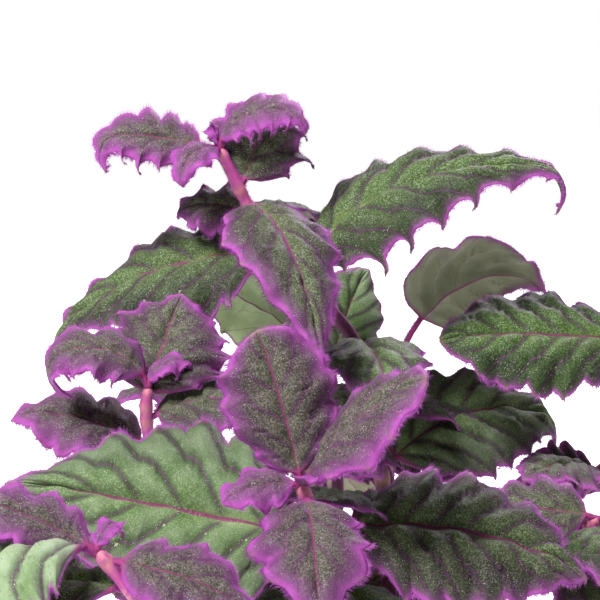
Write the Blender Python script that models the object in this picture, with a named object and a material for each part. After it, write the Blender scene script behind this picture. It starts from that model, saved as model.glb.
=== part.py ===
"""Potted purple passion plant, in metres, +Z up, standing on Z = 0 with the pot's axis at X = Y = 0.

The plant is seen in the photograph from -Y. Eleven leafy stems stand in plain holes in the soil.
Each leafy stem is one solid: its stem, its leaf stalks and its toothed, waved blades grow together.
Headings are degrees seen from above: 0 points along +X, 90 along +Y, -90 towards the viewer.
"""
import math
import random

import bpy
import numpy as np

MM = 0.001

# Pot: a plain tapered round pot with a rim band, moulded in one piece
POT_HEIGHT = 108 * MM
POT_FOOT_RADIUS = 45 * MM
POT_BODY_TOP_RADIUS = 58 * MM
POT_RIM_RADIUS = 64 * MM
POT_RIM_DEPTH = 22 * MM
POT_WALL = 3 * MM
POT_FLOOR = 4 * MM
POT_LIP = 1.2 * MM       # the small bevels at the rim, the foot and the band
POT_BAND_TAPER = 1.5 * MM
POT_SIDES = 32

# Soil: fills the pot to just under the rim, lumpy on top
SOIL_LEVEL = 98 * MM
SOIL_LUMP = 1.6 * MM
SOIL_SIDES = 24
SOIL_RINGS = 4
SOIL_SEED = 11
CLEARANCE = 0.3 * MM

# Stems
PATH_SPANS = 24          # points in each span of a smooth curve before it is spaced evenly
PATH_STEP = 1 * MM
STEM_FOOT = SOIL_LEVEL - 22 * MM
STEM_COLLAR = SOIL_LEVEL + 4 * MM
STEM_ROOT_RADIUS = 2.7 * MM
STEM_TIP_RADIUS = 1.8 * MM
STEM_SIDES = 6
STEM_STEP = 17 * MM

# Leaves
STALK_RADIUS = 1.1 * MM
RIB_HALF_THICKNESS = 0.75 * MM
EDGE_HALF_THICKNESS = 0.4 * MM
TOOTH_PEAK = 0.74        # where along its pitch a tooth is highest
TOOTH_RISE = 1.6         # above 1 a tooth's long side is hollow
TOOTH_CROWDING = 0.9     # below 1 the teeth are closer together near the base
TOOTH_MIDDLE = 0.45      # height within a tooth that counts as the plain outline
TOOTH_VARIETY = 0.45     # how much tooth sizes differ along one edge
ROUNDNESS = 0.62         # below 1 the blade's base is blunt
OPENS_BY = 0.10          # the blade has opened from the stalk by here
VEIN_LEAN = 0.30         # how far the edge lies ahead of its own point on the midrib
SWELL = 0.055            # height of the blade between its side veins, over half its width
EDGE_CURL = 0.10         # drop of the edge, over half its width
EDGE_CURL_FROM = 0.72
MIDRIB_SAMPLES = 97
FULL_ACROSS = (-1.0, -0.55, 0.0, 0.55, 1.0)
PLAIN_ACROSS = (-1.0, 0.0, 1.0)

# Stems grown by rule
GOLDEN_ANGLE = 137.5     # turn from one leaf to the next
YOUNGEST = 0.45          # size of the top leaf over the lowest one
LOWERING = 22            # how many degrees flatter the lowest leaf starts than the top one

# What a leaf is when its row says nothing else: angles in degrees, lengths in millimetres
LEAF_HABIT = dict(
    droop=45,      # how far the midrib turns down by the tip
    bow=1.2,       # above 1 the turn comes late, below 1 it comes early
    hook=25,       # further turn down of the last stretch
    hook_at=0.78,  # where that stretch starts
    sweep=0,       # turn of the heading by the tip
    roll=0,        # tilt of the blade about its midrib
    cup=45,        # how far each half bends down towards its edge
    fold=12,       # how far both halves lift beside the midrib
    wave=1.6,      # height of the edge's waves
    teeth=6,       # teeth on each side
    depth=0.26,    # tooth depth over half the blade's width
    belly=0.36,    # where the blade is widest
    petiole=0.10,  # share of the length that is leaf stalk
    phase=0.0,     # shifts waves and tooth sizes from leaf to leaf
)


def ease(x):
    """Smooth step: 0 up to x = 0, 1 from x = 1, level at both ends."""
    x = np.clip(x, 0, 1)
    return x * x * (3 - 2 * x)


def smooth_path(points, step):
    """Points about one step apart on a smooth curve through the given points (Catmull-Rom)."""
    p = np.asarray(points, float)
    p = np.vstack([2 * p[0] - p[1], p, 2 * p[-1] - p[-2]])
    t = np.linspace(0, 1, PATH_SPANS, endpoint=False)[:, None]
    spans = []
    for a, b, c, d in zip(p, p[1:], p[2:], p[3:]):
        spans.append(0.5 * (2 * b + (c - a) * t + (2 * a - 5 * b + 4 * c - d) * t**2
                            + (3 * b - a - 3 * c + d) * t**3))
    line = np.vstack(spans + [p[-2][None]])
    along = np.concatenate([[0], np.cumsum(np.linalg.norm(np.diff(line, axis=0), axis=1))])
    count = max(3, round(along[-1] / step) + 1)
    at = np.linspace(0, along[-1], count)
    return np.stack([np.interp(at, along, line[:, k]) for k in range(3)], 1)


class Leaf:
    """One leaf: where it sits on its stem, how its midrib runs, and how its blade is cut and waved."""

    def __init__(self, down, head, rise, long, wide, across=FULL_ACROSS, **habit):
        self.down = down * MM
        self.head = head
        self.rise = rise
        self.long = long * MM
        self.wide = wide * MM
        self.across = across
        self.shape = dict(LEAF_HABIT, **habit)
        self.root = None

    def midrib(self):
        """Places and frames along the midrib: its slope falls with the droop and then with the hook."""
        s = self.shape
        t = np.linspace(0, 1, MIDRIB_SAMPLES)
        last = ease((t - s["hook_at"]) / (1 - s["hook_at"]))
        slope = np.radians(self.rise - s["droop"] * t ** s["bow"] - s["hook"] * last)
        heading = np.radians(self.head + s["sweep"] * t)
        along = np.stack([np.cos(slope) * np.cos(heading), np.cos(slope) * np.sin(heading),
                          np.sin(slope)], 1)
        steps = (along[1:] + along[:-1]) / 2 * self.long / (MIDRIB_SAMPLES - 1)
        place = self.root + np.vstack([np.zeros(3), np.cumsum(steps, axis=0)])
        level = np.stack([-np.sin(heading), np.cos(heading), np.zeros_like(heading)], 1)
        upright = np.cross(along, level)
        roll = np.radians(s["roll"])
        left = math.cos(roll) * level + math.sin(roll) * upright
        return t, place, left, np.cross(along, left)

    def tooth_rows(self):
        """Stations along the leaf: the stalk's two ends, then each tooth's foot and its peak."""
        s = self.shape
        count = s["teeth"]
        steps = np.array([k + shift for k in range(count) for shift in (0, TOOTH_PEAK)][1:])
        blade = (steps / count) ** (1 / TOOTH_CROWDING)
        return np.concatenate([[0.0, s["petiole"]], s["petiole"] + (1 - s["petiole"]) * blade])

    def half_width(self, u, side):
        """Half the blade's width at u, 0 at its base and 1 at its tip, with its forward-pointing teeth."""
        s = self.shape
        peak = s["belly"]
        tip = ROUNDNESS * (1 - peak) / peak
        oval = u**ROUNDNESS * (1 - u) ** tip / (peak**ROUNDNESS * (1 - peak) ** tip)
        count = s["teeth"] * u**TOOTH_CROWDING
        turn = count - np.floor(count)
        rising = (turn / TOOTH_PEAK) ** TOOTH_RISE
        tooth = np.where(turn < TOOTH_PEAK, rising, (1 - turn) / (1 - TOOTH_PEAK))
        size = 1 + TOOTH_VARIETY * np.sin(2.4 * np.floor(count) + 1.9 * side + 5 * s["phase"])
        return self.wide / 2 * oval * (1 + s["depth"] * size * (tooth - TOOTH_MIDDLE)), oval, turn

    def surface(self, v, across):
        """Points and normals of the blade's middle surface.

        v runs from the root 0 to the tip 1 and across from the right edge -1 to the left edge 1. Each half
        is an arc that lifts beside the midrib and bends down to the edge; the edge waves, and the
        blade swells between its side veins.
        """
        s = self.shape
        v, across = np.broadcast_arrays(np.asarray(v, float), np.asarray(across, float))
        t, place, left, up = self.midrib()
        side = np.sign(across)
        m = np.abs(across)
        u = np.clip((v - s["petiole"]) / (1 - s["petiole"]), 0, 1)
        width, oval, turn = self.half_width(u, side)
        stalk = STALK_RADIUS * np.sqrt(1 - u) * (1 - 0.6 * ease(u / 0.06))
        half = stalk + width
        forward = VEIN_LEAN * u * (1 - u) * m**1.4 * self.wide / self.long
        at = np.clip(v + forward, 0, 1)
        place, left, up = (np.stack([np.interp(at, t, a[:, k]) for k in range(3)], -1)
                           for a in (place, left, up))
        open_out = np.clip(u / OPENS_BY, 0, 1)
        cup = np.radians(s["cup"]) * open_out + 1e-4
        fold = np.radians(s["fold"]) * open_out
        out = half / cup * (np.sin(fold) - np.sin(fold - cup * m))
        lift = half / cup * (np.cos(fold - cup * m) - np.cos(fold))
        middle = ease(u / 0.15) * ease((1 - u) / 0.2)
        turns = math.pi * s["teeth"] * u**TOOTH_CROWDING
        wave = s["wave"] * MM * m**2.2 * np.sin(turns + 1.3 * side + 9 * s["phase"]) * middle
        swell = (0.5 - 0.5 * np.cos(2 * math.pi * (turn - TOOTH_PEAK))) * ease(m / 0.25) * (1 - m**3)
        curl = ease((m - EDGE_CURL_FROM) / (1 - EDGE_CURL_FROM))
        lift = lift + wave + self.wide / 2 * oval * ease(u / OPENS_BY) * (SWELL * swell - EDGE_CURL * curl)
        tilt = fold - cup * m
        points = place + left * (side * out)[..., None] + up * lift[..., None]
        normals = up * np.cos(tilt)[..., None] - left * (side * np.sin(tilt))[..., None]
        return points, normals

    def solid(self):
        """The leaf as one closed solid, both faces split into triangles alike and joined at the edge."""
        rows = self.tooth_rows()
        across = np.array(self.across)
        points, normals = self.surface(rows[:, None], across[None, :])
        thick = EDGE_HALF_THICKNESS + (RIB_HALF_THICKNESS - EDGE_HALF_THICKNESS) * (1 - np.abs(across))
        offset = normals * thick[None, :, None]
        tip, tip_normal = self.surface(1.0, 0.0)
        tip_offset = tip_normal * EDGE_HALF_THICKNESS
        grid = len(rows) * len(across)
        places = np.vstack([(points + offset).reshape(-1, 3), (points - offset).reshape(-1, 3),
                            tip + tip_offset, tip - tip_offset])
        upper = np.arange(grid).reshape(len(rows), len(across))
        lower = upper + grid
        top_tip = 2 * grid
        low_tip = top_tip + 1
        faces = []
        for i in range(len(rows) - 1):
            for j in range(len(across) - 1):
                for a, b, c in (((i, j), (i + 1, j), (i + 1, j + 1)), ((i, j), (i + 1, j + 1), (i, j + 1))):
                    faces.append((upper[a], upper[b], upper[c]))
                    faces.append((lower[c], lower[b], lower[a]))
        for j in range(len(across) - 1):
            faces.append((upper[-1, j], top_tip, upper[-1, j + 1]))
            faces.append((lower[-1, j + 1], low_tip, lower[-1, j]))
            faces.append((upper[0, j], upper[0, j + 1], lower[0, j + 1]))
            faces.append((upper[0, j], lower[0, j + 1], lower[0, j]))
        for j, flip in ((0, False), (len(across) - 1, True)):
            top = list(upper[:, j]) + [top_tip]
            low = list(lower[:, j]) + [low_tip]
            for a, b, c, d in zip(top, top[1:], low[1:], low):
                pair = ((a, d, c), (a, c, b))
                faces.extend(tri[::-1] for tri in pair) if flip else faces.extend(pair)
        return places, [tuple(int(k) for k in face) for face in faces]


class Shoot:
    """A leafy stem: it stands straight in the soil, then follows its path to its tip."""

    def __init__(self, name, foot, *path):
        self.name = name
        self.foot = np.array([foot[0] * MM, foot[1] * MM, 0.0])
        collar = (foot[0], foot[1], STEM_COLLAR / MM)
        self.path = [np.array(p, float) * MM for p in (collar,) + path]
        self.fine = smooth_path(self.path, PATH_STEP)
        lengths = np.linalg.norm(np.diff(self.fine, axis=0), axis=1)
        self.along = np.concatenate([[0], np.cumsum(lengths)])
        self.leaves = []

    def add(self, *sizes, **habit):
        """Add a leaf. Its root sits on the stem's axis, so that the stalk is sunk well into the stem."""
        leaf = Leaf(*sizes, **habit)
        at = self.along[-1] - leaf.down
        leaf.root = np.array([np.interp(at, self.along, self.fine[:, k]) for k in range(3)])
        self.leaves.append(leaf)

    def rings(self):
        """Centres and radii of the stem's rings, thinner towards the tip."""
        centres = smooth_path(self.path, STEM_STEP)
        foot = self.foot + np.array([0, 0, STEM_FOOT])
        centres = np.vstack([foot, centres])
        share = np.concatenate([[0], np.linspace(0, 1, len(centres) - 1)])
        return centres, STEM_ROOT_RADIUS + (STEM_TIP_RADIUS - STEM_ROOT_RADIUS) * share

    def solid(self):
        """The bare stem: six-sided rings along the path, the lowest two level, with both ends closed."""
        centres, radii = self.rings()
        ahead = np.gradient(centres, axis=0)
        ahead[0] = ahead[1] = (0, 0, 1)
        ahead /= np.linalg.norm(ahead, axis=1)[:, None]
        side = np.cross((0, 1, 0), ahead)
        side /= np.linalg.norm(side, axis=1)[:, None]
        other = np.cross(ahead, side)
        turn = np.arange(STEM_SIDES) * 2 * math.pi / STEM_SIDES
        ring = (side[:, None, :] * np.cos(turn)[None, :, None]
                + other[:, None, :] * np.sin(turn)[None, :, None])
        places = (centres[:, None, :] + ring * radii[:, None, None]).reshape(-1, 3)
        index = np.arange(len(places)).reshape(-1, STEM_SIDES)
        faces = [tuple(int(k) for k in index[0][::-1]), tuple(int(k) for k in index[-1])]
        for low, high in zip(index, index[1:]):
            for k in range(STEM_SIDES):
                n = (k + 1) % STEM_SIDES
                faces.append((int(low[k]), int(low[n]), int(high[n]), int(high[k])))
        return places, faces


def grow(shoot, seed, count, start, step, long, wide, rise, outward, spread):
    """Leaves spaced evenly down a stem, larger lower down.

    Each would stand a golden angle round from the last, but they turn outwards to the light, so that
    the full turn closes up to a fan about the outward heading.
    """
    draw = random.Random(seed)
    for k in range(count):
        share = k / max(1, count - 1)
        size = YOUNGEST + (1 - YOUNGEST) * share
        round_the_stem = (GOLDEN_ANGLE * k + 180) % 360 - 180
        head = outward + spread * round_the_stem + draw.uniform(-8, 8)
        slope = rise - LOWERING * share + draw.uniform(-5, 5)
        shoot.add(start + step * k, head, slope, long * size, wide * size, PLAIN_ACROSS,
                  droop=draw.uniform(45, 65), hook=draw.uniform(10, 30), phase=draw.random(),
                  teeth=5 if size > 0.7 else 4)


def tall_shoot():
    """The tall stem in the middle: young leaves at its tip, large hanging leaves down to the soil."""
    shoot = Shoot("tall_stem", (22, 0), (21, 0, 116), (19, 0, 146), (16, -1, 168), (10, -4, 194),
                  (1, -6, 208), (-15, -10, 226), (-27, -12, 245), (-37, -12, 265))
    add = shoot.add
    add(1, 181, 15, 50, 21, PLAIN_ACROSS, roll=-50, droop=28, bow=1.6, hook=105, hook_at=0.6, teeth=6,
        petiole=0.14, depth=0.34, belly=0.32, wave=0.5)
    add(2, -132, 30, 27, 14, PLAIN_ACROSS, roll=-15, droop=128, hook=30, teeth=3, wave=0.6)
    add(0, 150, 75, 9, 5, PLAIN_ACROSS, droop=10, hook=10, teeth=2)
    add(1, -10, 82, 40, 19, PLAIN_ACROSS, roll=35, droop=130, bow=0.9, hook=45, teeth=6, petiole=0.08,
        depth=0.34, wave=0.5)
    add(16, 25, 70, 34, 32, PLAIN_ACROSS, roll=56, droop=12, hook=30, teeth=4, petiole=0.12, depth=0.3)
    add(22, -67, 12, 84, 35, droop=86, bow=0.8, hook=0, teeth=6, petiole=0.05, depth=0.12, belly=0.28,
        wave=1.2)
    add(24, 58, 8, 46, 22, PLAIN_ACROSS, droop=55, teeth=4)
    add(25, 154, 16, 32, 21, PLAIN_ACROSS, roll=-40, droop=42, hook=50, teeth=4, depth=0.24)
    add(41, 169, -2, 106, 52, roll=-30, droop=58, bow=1.3, hook=70, hook_at=0.74, teeth=7, petiole=0.05,
        depth=0.18, belly=0.25)
    add(50, -3, 56, 115, 50, roll=26, droop=78, bow=1.0, hook=100, hook_at=0.8, teeth=8, petiole=0.06,
        depth=0.26, belly=0.24, wave=1.2)
    add(86, -80, 35, 56, 36, droop=75, bow=0.8, teeth=5, petiole=0.06, depth=0.16, wave=1.0)
    add(95, 152, 10, 62, 36, PLAIN_ACROSS, droop=50, teeth=5)
    add(112, 40, 10, 56, 34, PLAIN_ACROSS, droop=45, teeth=5)
    add(135, 18, 60, 84, 52, roll=30, droop=98, bow=0.9, hook=50, teeth=7, depth=0.14, belly=0.33, wave=1.0)
    add(104, -106, 28, 48, 36, PLAIN_ACROSS, droop=60, teeth=5)
    add(126, -126, 26, 50, 38, PLAIN_ACROSS, droop=50, teeth=5)
    add(150, -62, 12, 74, 42, PLAIN_ACROSS, droop=55, teeth=6)
    return shoot


def left_shoot():
    """The stem to the left, with a curled young tip."""
    shoot = Shoot("left_stem", (-30, -6), (-38, -14, 122), (-53, -27, 149), (-59, -37, 170),
                  (-60, -41, 183), (-59, -42, 191))
    add = shoot.add
    add(1, 183, 80, 54, 23, roll=-30, droop=150, bow=0.85, hook=90, hook_at=0.55, teeth=5, belly=0.3)
    add(0, 10, 78, 20, 10, PLAIN_ACROSS, roll=20, droop=125, teeth=3)
    add(7, 58, 66, 40, 44, roll=12, droop=16, hook=10, teeth=6, petiole=0.12, depth=0.2)
    add(12, -5, 32, 42, 36, PLAIN_ACROSS, roll=20, droop=50, teeth=4)
    add(24, 178, 32, 50, 30, PLAIN_ACROSS, roll=-30, droop=40, hook=30, teeth=5)
    add(34, 125, 12, 56, 34, PLAIN_ACROSS, droop=50, teeth=5)
    return shoot


def front_shoot():
    """The stem nearest the viewer: an open rosette at its tip and two large leaves to the sides."""
    shoot = Shoot("front_stem", (-4, -36), (-3, -52, 118), (-3, -75, 142), (-5, -92, 160), (-8, -99, 172),
                  (-10, -101, 178))
    add = shoot.add
    add(2, 152, 76, 48, 33, roll=-60, droop=8, hook=10, teeth=5, depth=0.12, belly=0.5)
    add(2, -20, 64, 53, 32, roll=30, droop=34, bow=0.8, hook=10, teeth=4, petiole=0.08, depth=0.14,
        belly=0.48)
    add(1, 195, 15, 25, 16, PLAIN_ACROSS, roll=-25, droop=50, teeth=3, belly=0.42)
    add(5, -85, 0, 50, 31, droop=60, teeth=4)
    add(0, -60, 45, 10, 6, PLAIN_ACROSS, droop=60, teeth=2)
    add(25, 176, 11, 96, 62, roll=-50, droop=2, hook=10, teeth=7, petiole=0.08, depth=0.2, belly=0.3)
    add(20, 0, 8, 85, 50, roll=32, droop=40, hook=10, teeth=8, petiole=0.12, depth=0.16, belly=0.37)
    add(9, 62, 0, 40, 32, PLAIN_ACROSS, droop=40, teeth=5)
    add(50, -112, 0, 58, 40, PLAIN_ACROSS, droop=55, teeth=5)
    add(56, -48, 0, 66, 40, PLAIN_ACROSS, droop=55, teeth=5)
    return shoot


def front_left_shoot():
    """The low stem at the front left, with a young rosette and one pale old leaf."""
    shoot = Shoot("front_left_stem", (-34, -28), (-38, -52, 113), (-35, -92, 121), (-41, -118, 135),
                  (-54, -127, 152), (-66, -127, 167))
    add = shoot.add
    add(1, 178, 34, 42, 22, roll=-30, droop=25, teeth=4, belly=0.34)
    add(0, 60, 70, 14, 8, PLAIN_ACROSS, droop=110, teeth=3)
    add(4, -12, 0, 46, 25, roll=30, droop=36, teeth=4)
    add(5, 174, 48, 76, 57, sweep=86, droop=138, bow=0.8, hook=10, teeth=5, petiole=0.12)
    add(27, -52, -4, 46, 32, PLAIN_ACROSS, droop=50, teeth=5)
    add(15, 160, 6, 44, 36, PLAIN_ACROSS, droop=40, teeth=5)
    return shoot


def right_shoot():
    """The stem that leans out to the right; its tip and outer leaves are past the photograph's edge."""
    shoot = Shoot("right_stem", (42, 4), (62, 4, 116), (87, 2, 138), (102, 0, 156), (109, -4, 178),
                  (112, -8, 200), (113, -8, 210))
    add = shoot.add
    add(1, -20, 65, 30, 16, PLAIN_ACROSS, droop=80, teeth=4)
    add(0, 110, 65, 24, 13, PLAIN_ACROSS, droop=70, teeth=4)
    add(13, 184, 8, 75, 46, roll=-34, droop=12, hook=10, teeth=7, petiole=0.1, depth=0.16, belly=0.44)
    add(17, -10, 20, 50, 30, PLAIN_ACROSS, droop=70, teeth=5)
    add(66, 189, 4, 27, 22, PLAIN_ACROSS, roll=-62, droop=10, hook=10, teeth=5, belly=0.42)
    add(40, 60, 30, 50, 32, PLAIN_ACROSS, droop=50, teeth=5)
    add(66, -146, 26, 38, 34, PLAIN_ACROSS, droop=40, teeth=6)
    add(82, 85, 12, 56, 34, PLAIN_ACROSS, droop=50, teeth=5)
    return shoot


def back_right_shoot():
    """The stem behind on the right, with the leaf that the photograph shows from below."""
    shoot = Shoot("back_right_stem", (24, 34), (24, 44, 120), (24, 52, 148), (25, 58, 171))
    shoot.add(3, 8, 69, 86, 60, roll=-58, droop=120, bow=1.7, hook=10, teeth=6, petiole=0.3, belly=0.22,
              depth=0.1)
    grow(shoot, seed=3, count=2, start=20, step=13, long=64, wide=40, rise=20, outward=-14, spread=0.35)
    return shoot


def back_shoot():
    """The stem behind the middle, with three pale leaves seen from below between the front ones."""
    shoot = Shoot("back_stem", (2, 22), (4, 30, 130), (3, 38, 160), (1, 40, 182))
    shoot.add(2, 180, 44, 66, 44, PLAIN_ACROSS, roll=50, droop=30, teeth=5, depth=0.12)
    shoot.add(4, 55, 62, 42, 30, PLAIN_ACROSS, roll=45, droop=20, teeth=5, depth=0.08)
    shoot.add(1, 12, 15, 24, 13, PLAIN_ACROSS, droop=20, teeth=3)
    return shoot


def back_left_shoot():
    """The stem behind on the left, grown by rule."""
    shoot = Shoot("back_left_stem", (-26, 28), (-36, 44, 126), (-46, 58, 150), (-50, 66, 171))
    grow(shoot, seed=8, count=6, start=1, step=10, long=66, wide=40, rise=22, outward=149, spread=0.42)
    return shoot


def far_back_shoot():
    """The low stem at the back, grown by rule."""
    shoot = Shoot("far_back_stem", (0, 47), (-2, 66, 124), (-8, 82, 150), (-12, 90, 174))
    grow(shoot, seed=13, count=6, start=1, step=11, long=62, wide=38, rise=22, outward=76, spread=0.4)
    return shoot


def low_left_shoot():
    """The low stem on the left, grown by rule."""
    shoot = Shoot("low_left_stem", (-46, 8), (-64, 12, 114), (-84, 18, 124), (-98, 22, 136))
    grow(shoot, seed=21, count=4, start=1, step=10, long=56, wide=34, rise=20, outward=190, spread=0.4)
    return shoot


def low_right_shoot():
    """The low stem at the front right, grown by rule but for three leaves near its tip."""
    shoot = Shoot("low_right_stem", (43, -16), (56, -26, 120), (74, -38, 134), (88, -46, 148))
    add = shoot.add
    add(1, 172, 14, 40, 28, PLAIN_ACROSS, roll=-35, droop=30, teeth=4)
    add(3, 150, -20, 34, 34, PLAIN_ACROSS, roll=-30, droop=10, teeth=5)
    add(6, -72, 10, 42, 38, PLAIN_ACROSS, droop=40, teeth=5)
    grow(shoot, seed=34, count=4, start=1, step=10, long=58, wide=36, rise=20, outward=-40, spread=0.3)
    return shoot


SHOOTS = (tall_shoot, left_shoot, front_shoot, front_left_shoot, right_shoot, back_right_shoot,
          back_shoot, back_left_shoot, far_back_shoot, low_left_shoot, low_right_shoot)


def clear_scene():
    """Start from an empty scene."""
    for thing in list(bpy.data.objects):
        bpy.data.objects.remove(thing, do_unlink=True)


def finish(name, colour, roughness):
    """A plain, non-metallic material."""
    material = bpy.data.materials.new(name)
    material.use_nodes = True
    shader = material.node_tree.nodes["Principled BSDF"]
    shader.inputs["Base Color"].default_value = (*colour, 1)
    shader.inputs["Roughness"].default_value = roughness
    shader.inputs["Metallic"].default_value = 0
    return material


def solid_object(name, places, faces, material, home=None):
    """An object from corner places and faces, in the scene or in the given collection."""
    mesh = bpy.data.meshes.new(name)
    mesh.from_pydata([tuple(p) for p in places], [], faces)
    mesh.validate()
    mesh.materials.append(material)
    thing = bpy.data.objects.new(name, mesh)
    (home or bpy.context.scene.collection).objects.link(thing)
    return thing


def combine(body, tools, operation):
    """Join a collection's solids to a body, or cut them from it, and then remove them."""
    step = body.modifiers.new(operation.lower(), "BOOLEAN")
    step.operation = operation
    step.operand_type = "COLLECTION"
    step.collection = tools
    step.solver = "EXACT"
    bpy.context.view_layer.update()
    graph = bpy.context.evaluated_depsgraph_get()
    result = bpy.data.meshes.new_from_object(body.evaluated_get(graph))
    body.modifiers.clear()
    body.data = result
    for tool in list(tools.objects):
        bpy.data.objects.remove(tool, do_unlink=True)
    bpy.data.collections.remove(tools)


def new_collection(name):
    """A collection linked to the scene."""
    home = bpy.data.collections.new(name)
    bpy.context.scene.collection.children.link(home)
    return home


def make_leafy_stem(shoot, material):
    """The stem and its leaves as one solid."""
    stem = solid_object(shoot.name, *shoot.solid(), material)
    leaves = new_collection(shoot.name + "_leaves")
    for k, leaf in enumerate(shoot.leaves):
        solid_object(f"{shoot.name}_leaf_{k}", *leaf.solid(), material, leaves)
    combine(stem, leaves, "UNION")
    return stem


def pot_bore(z):
    """Inner radius of the pot at a height: it widens slowly up the body and faster inside the rim."""
    shoulder = POT_HEIGHT - POT_RIM_DEPTH
    low = POT_FOOT_RADIUS - POT_WALL
    middle = POT_BODY_TOP_RADIUS - POT_WALL
    top = POT_RIM_RADIUS - POT_WALL - POT_LIP
    return float(np.interp(z, (POT_FLOOR, shoulder, POT_HEIGHT), (low, middle, top)))


def make_pot(material):
    """The pot: its profile runs up the inside, over the rim and down the outside, turned once round."""
    shoulder = POT_HEIGHT - POT_RIM_DEPTH
    lip = POT_LIP
    band = POT_RIM_RADIUS - POT_BAND_TAPER
    mouth = pot_bore(POT_HEIGHT)
    profile = [(0, POT_FLOOR), (pot_bore(POT_FLOOR), POT_FLOOR), (pot_bore(shoulder), shoulder),
               (pot_bore(POT_HEIGHT - lip), POT_HEIGHT - lip), (mouth + lip, POT_HEIGHT),
               (POT_RIM_RADIUS - lip, POT_HEIGHT), (POT_RIM_RADIUS, POT_HEIGHT - lip),
               (band, shoulder + lip), (band - lip, shoulder),
               (POT_BODY_TOP_RADIUS, shoulder), (POT_FOOT_RADIUS, lip), (POT_FOOT_RADIUS - lip, 0), (0, 0)]
    mesh = bpy.data.meshes.new("pot")
    mesh.from_pydata([(r, 0, z) for r, z in profile], [(k, k + 1) for k in range(len(profile) - 1)], [])
    mesh.materials.append(material)
    pot = bpy.data.objects.new("pot", mesh)
    bpy.context.scene.collection.objects.link(pot)
    turn = pot.modifiers.new("turn", "SCREW")
    turn.steps = POT_SIDES
    turn.render_steps = POT_SIDES
    turn.use_merge_vertices = True
    turn.merge_threshold = 0.01 * MM
    turn.use_smooth_shade = False
    return pot


def make_soil(shoots, material):
    """The soil: a tapered plug with a lumpy top, and one plain hole for each stem."""
    draw = random.Random(SOIL_SEED)
    turn = np.arange(SOIL_SIDES) * 2 * math.pi / SOIL_SIDES
    circle = np.stack([np.cos(turn), np.sin(turn)], 1)
    inside = math.cos(math.pi / POT_SIDES)
    bottom = POT_FLOOR + CLEARANCE
    shoulder = POT_HEIGHT - POT_RIM_DEPTH
    places = [(0, 0, SOIL_LEVEL)]
    faces = []
    for ring in range(1, SOIL_RINGS + 1):
        radius = (pot_bore(SOIL_LEVEL) * inside - CLEARANCE) * ring / SOIL_RINGS
        lump = SOIL_LUMP if ring < SOIL_RINGS else 0
        for x, y in circle * radius:
            places.append((x, y, SOIL_LEVEL + lump * draw.uniform(-1, 1)))
    for height in (shoulder, bottom):
        radius = pot_bore(height) * inside - CLEARANCE
        places.extend((x, y, height) for x, y in circle * radius)
    for k in range(SOIL_SIDES):
        n = (k + 1) % SOIL_SIDES
        faces.append((0, 1 + k, 1 + n))
        for ring in range(SOIL_RINGS + 1):
            a = 1 + ring * SOIL_SIDES
            b = a + SOIL_SIDES
            faces.append((a + k, b + k, b + n))
            faces.append((a + k, b + n, a + n))
    last = 1 + (SOIL_RINGS + 1) * SOIL_SIDES
    faces.append(tuple(last + k for k in reversed(range(SOIL_SIDES))))
    soil = solid_object("soil", places, faces, material)
    holes = new_collection("stem_holes")
    corners = np.arange(STEM_SIDES) * 2 * math.pi / STEM_SIDES
    reach = STEM_ROOT_RADIUS + CLEARANCE / math.cos(math.pi / STEM_SIDES)
    low = STEM_FOOT - CLEARANCE
    high = SOIL_LEVEL + 2 * SOIL_LUMP
    for shoot in shoots:
        x, y = shoot.foot[:2]
        ring = [(x + reach * math.cos(c), y + reach * math.sin(c)) for c in corners]
        prism = [(px, py, low) for px, py in ring] + [(px, py, high) for px, py in ring]
        sides = [(k, (k + 1) % STEM_SIDES, (k + 1) % STEM_SIDES + STEM_SIDES, k + STEM_SIDES)
                 for k in range(STEM_SIDES)]
        ends = [tuple(reversed(range(STEM_SIDES))), tuple(range(STEM_SIDES, 2 * STEM_SIDES))]
        solid_object("hole", prism, sides + ends, material, holes)
    combine(soil, holes, "DIFFERENCE")
    return soil


def main():
    clear_scene()
    foliage = finish("purple_haired_leaf", (0.13, 0.10, 0.13), 0.7)
    plastic = finish("pot_plastic", (0.44, 0.17, 0.095), 0.5)
    earth = finish("potting_soil", (0.045, 0.030, 0.022), 0.95)
    shoots = [build() for build in SHOOTS]
    make_pot(plastic)
    make_soil(shoots, earth)
    for shoot in shoots:
        make_leafy_stem(shoot, foliage)


main()
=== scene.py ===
# %% [markdown]
# A purple passion plant in its pot. The leaves are green, but violet hairs cover everything and stand in a
# bright fringe along each toothed edge. The solids of the frame hold the form of every leaf. This script
# dresses them: each leaf is made again from the same formula on a finer grid, with curled spurs on its
# teeth, sunken veins and thousands of needles for hairs.

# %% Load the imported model
import math
import random
from types import SimpleNamespace

import bpy
import numpy as np
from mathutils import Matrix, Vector


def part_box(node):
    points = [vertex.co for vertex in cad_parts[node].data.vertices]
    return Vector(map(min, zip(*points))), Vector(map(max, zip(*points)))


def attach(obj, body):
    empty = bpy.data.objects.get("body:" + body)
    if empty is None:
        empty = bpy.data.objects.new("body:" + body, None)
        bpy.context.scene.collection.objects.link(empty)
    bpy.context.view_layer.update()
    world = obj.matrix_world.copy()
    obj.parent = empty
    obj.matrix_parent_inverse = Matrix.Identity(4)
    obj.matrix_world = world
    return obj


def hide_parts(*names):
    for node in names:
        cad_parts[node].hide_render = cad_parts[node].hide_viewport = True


MM = 0.001
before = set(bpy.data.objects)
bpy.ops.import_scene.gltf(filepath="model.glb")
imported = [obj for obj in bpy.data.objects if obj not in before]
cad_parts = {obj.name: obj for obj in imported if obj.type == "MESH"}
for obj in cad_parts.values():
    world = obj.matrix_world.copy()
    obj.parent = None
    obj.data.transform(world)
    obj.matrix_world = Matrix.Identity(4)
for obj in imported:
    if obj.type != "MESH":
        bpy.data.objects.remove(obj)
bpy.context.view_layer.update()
scene = bpy.context.scene
print("nodes in the frame:", ", ".join(sorted(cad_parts)))


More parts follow.
